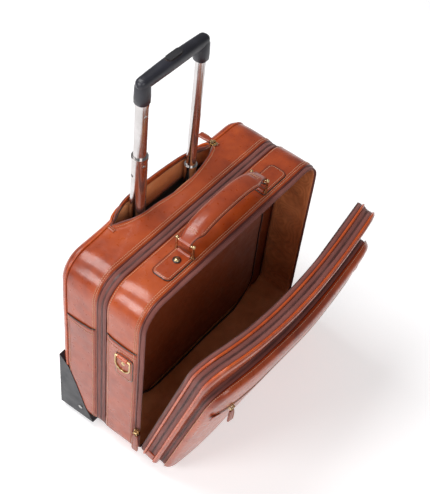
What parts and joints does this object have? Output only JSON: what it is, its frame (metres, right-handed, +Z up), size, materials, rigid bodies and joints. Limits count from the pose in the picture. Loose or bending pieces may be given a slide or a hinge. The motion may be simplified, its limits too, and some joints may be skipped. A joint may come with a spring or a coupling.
{
  "type": "rolling laptop case",
  "caption": "Soft leather case on two wheels with a telescopic trolley handle, a carry handle, zipped sections and a fold-down organiser front.",
  "frame": {"origin": "on the floor, midway across the case, below the seam between the rear section and the zip in front of it", "axes": "+X to the case's right seen from the front, +Y to the back (the trolley side), +Z up"},
  "size_m": [0.436, 0.3151, 0.614],
  "materials": {
    "leather": "polished full-grain leather",
    "leather_trim": "polished leather with a painted edge",
    "piping": "leather-covered cord",
    "zip_tape": "woven tape with a nylon coil",
    "lining": "woven lining cloth",
    "divider_cloth": "padded cloth",
    "well_cloth": "black woven cloth",
    "board": "stiffening board",
    "tube": "plated tube",
    "bracket": "moulded",
    "housing": "moulded, lightly textured",
    "wheel": "moulded",
    "tyre": "smooth tread",
    "axle": "plain",
    "screw": "plain",
    "grip": "moulded, satin",
    "button": "moulded, satin",
    "rod": "plain",
    "foot": "moulded",
    "brass": "antique, polished",
    "pull": "leather tongue on a brass link"
  },
  "bodies": {
    "rear_section": {"rear_gusset": "leather", "back_panel": "leather", "rear_piping": "piping", "rear_zip_tape_back": "zip_tape", "rear_lining": "lining", "frame_board": "board", "trolley_well": "well_cloth", "trolley_zip_tape": "zip_tape", "trolley_brackets": "bracket", "outer_tubes": "tube", "rear_side_panels": "leather_trim", "wheel_axles": "axle", "housing_screws": "screw", "wheel_housing_left": "housing", "wheel_housing_right": "housing"},
    "left_wheel": {"wheel_left": "wheel", "tyre_left": "tyre"},
    "right_wheel": {"wheel_right": "wheel", "tyre_right": "tyre"},
    "stage1_left": {"stage1_tube_left": "tube"},
    "stage1_right": {"stage1_tube_right": "tube"},
    "stage2_left": {"stage2_tube_left": "tube"},
    "stage2_right": {"stage2_tube_right": "tube"},
    "pull_handle": {"inner_tubes": "tube", "grip": "grip"},
    "release": {"release_button": "button", "release_rods": "rod"},
    "front_section": {"front_gusset": "leather", "front_piping": "piping", "rear_zip_tape_front": "zip_tape", "main_zip_tape_case": "zip_tape", "divider_wall": "divider_cloth", "front_lining": "lining", "laptop_sleeve": "divider_cloth", "front_side_panels": "leather_trim", "front_feet": "foot", "handle_tabs": "leather_trim", "dring_tabs": "leather_trim", "rivets": "brass"},
    "ring_left": {"handle_ring_left": "brass"},
    "ring_right": {"handle_ring_right": "brass"},
    "carry_strap": {"carry_handle": "leather_trim"},
    "dring_left": {"d_ring_left": "brass"},
    "dring_right": {"d_ring_right": "brass"},
    "flap": {"main_zip_tape_flap": "zip_tape", "flap_piping": "piping", "flap_back_panel": "lining", "organiser_zip_tape": "zip_tape", "flap_front_panel": "leather", "pocket_zip_tapes": "zip_tape", "front_pocket": "leather"},
    "trolley_slider": {"trolley_zip_slider": "brass"},
    "trolley_puller": {"trolley_zip_pull": "pull"},
    "main_slider": {"main_zip_slider": "brass"},
    "main_puller": {"main_zip_pull": "pull"},
    "rear_slider": {"rear_zip_slider": "brass"},
    "organiser_slider": {"organiser_zip_slider": "brass"},
    "pocket_slider": {"pocket_zip_slider": "brass"},
    "slit_slider": {"slit_zip_slider": "brass"},
    "slit_puller": {"slit_zip_pull": "pull"}
  },
  "joints": [
    {"name": "wheel_left_spin", "type": "hinge", "parent": "rear_section", "child": "left_wheel", "pos_m": [-0.188, 0.052, 0.025], "axis": [1, 0, 0], "continuous": true},
    {"name": "wheel_right_spin", "type": "hinge", "parent": "rear_section", "child": "right_wheel", "pos_m": [0.188, 0.052, 0.025], "axis": [1, 0, 0], "continuous": true},
    {"name": "stage1_right_slide", "type": "slide", "parent": "rear_section", "child": "stage1_right", "axis": [0, 0, 1], "range_m": [0, 0.21]},
    {"name": "stage2_right_slide", "type": "slide", "parent": "stage1_right", "child": "stage2_right", "axis": [0, 0, 1], "range_m": [-0.092, 0.118]},
    {"name": "grip_slide", "type": "slide", "parent": "stage2_right", "child": "pull_handle", "axis": [0, 0, 1], "range_m": [-0.203, 0.007]},
    {"name": "stage1_left_slide", "type": "slide", "parent": "rear_section", "child": "stage1_left", "axis": [0, 0, 1], "range_m": [-0.203, 0.007]},
    {"name": "stage2_left_slide", "type": "slide", "parent": "stage1_left", "child": "stage2_left", "axis": [0, 0, 1], "range_m": [-0.092, 0.118]},
    {"name": "release_press", "type": "slide", "parent": "pull_handle", "child": "release", "axis": [0, 0, 1], "range_m": [-0.003, 0], "stiffness_N_per_m": 2000, "springref_m": 0.002},
    {"name": "case_hinge", "type": "hinge", "parent": "rear_section", "child": "front_section", "pos_m": [0, -0.009, 0.02], "axis": [1, 0, 0], "range_deg": [0, 70]},
    {"name": "flap_hinge", "type": "hinge", "parent": "front_section", "child": "flap", "pos_m": [0, -0.088, 0.024], "axis": [1, 0, 0], "range_deg": [-14.5, 60]},
    {"name": "ring_left_tilt", "type": "hinge", "parent": "front_section", "child": "ring_left", "pos_m": [-0.087, -0.054, 0.3705], "axis": [0, 1, 0], "range_deg": [-35, 35]},
    {"name": "ring_right_tilt", "type": "hinge", "parent": "front_section", "child": "ring_right", "pos_m": [0.087, -0.054, 0.3705], "axis": [0, 1, 0], "range_deg": [-35, 35]},
    {"name": "strap_level", "type": "hinge", "parent": "ring_left", "child": "carry_strap", "pos_m": [-0.087, -0.054, 0.3925], "axis": [0, 1, 0], "range_deg": [-35, 35]},
    {"name": "d_ring_left_swing", "type": "hinge", "parent": "front_section", "child": "dring_left", "pos_m": [-0.215, -0.054, 0.25], "axis": [0, 1, 0], "range_deg": [0, 150]},
    {"name": "d_ring_right_swing", "type": "hinge", "parent": "front_section", "child": "dring_right", "pos_m": [0.215, -0.054, 0.25], "axis": [0, -1, 0], "range_deg": [0, 150]},
    {"name": "trolley_zip_slide", "type": "slide", "parent": "rear_section", "child": "trolley_slider", "axis": [-1, 0, 0], "range_m": [0, 0.034]},
    {"name": "trolley_pull_swing", "type": "hinge", "parent": "trolley_slider", "child": "trolley_puller", "pos_m": [0.117, 0.054, 0.37255], "axis": [1, 0, 0], "range_deg": [0, 170]},
    {"name": "main_zip_slide", "type": "slide", "parent": "front_section", "child": "main_slider", "axis": [0, 0, 1], "range_m": [0, 0.225]},
    {"name": "main_pull_swing", "type": "hinge", "parent": "main_slider", "child": "main_puller", "pos_m": [-0.21505, -0.0846, 0.08], "axis": [0, 1, 0], "range_deg": [0, 120]},
    {"name": "rear_zip_slide", "type": "slide", "parent": "rear_section", "child": "rear_slider", "axis": [0, 0, 1], "range_m": [0, 0.155]},
    {"name": "organiser_zip_slide", "type": "slide", "parent": "flap", "child": "organiser_slider", "axis": [0, -0.2504, 0.9681], "range_m": [0, 0.185]},
    {"name": "pocket_zip_slide", "type": "slide", "parent": "flap", "child": "pocket_slider", "axis": [0, -0.2504, 0.9681], "range_m": [0, 0.14]},
    {"name": "slit_zip_slide", "type": "slide", "parent": "flap", "child": "slit_slider", "axis": [0.9899, -0.1375, -0.0356], "range_m": [0, 0.06]},
    {"name": "slit_pull_swing", "type": "hinge", "parent": "slit_slider", "child": "slit_puller", "pos_m": [-0.15586, -0.21057, 0.21438], "axis": [-0.9899, 0.1375, 0.0356], "range_deg": [-12, 100]}
  ],
  "couplings": [
    {"joint": "stage1_left_slide", "follows": "grip_slide", "ratio": 1},
    {"joint": "stage2_left_slide", "follows": "stage2_right_slide", "ratio": 1},
    {"joint": "ring_right_tilt", "follows": "ring_left_tilt", "ratio": 1},
    {"joint": "strap_level", "follows": "ring_left_tilt", "ratio": -1}
  ]
}
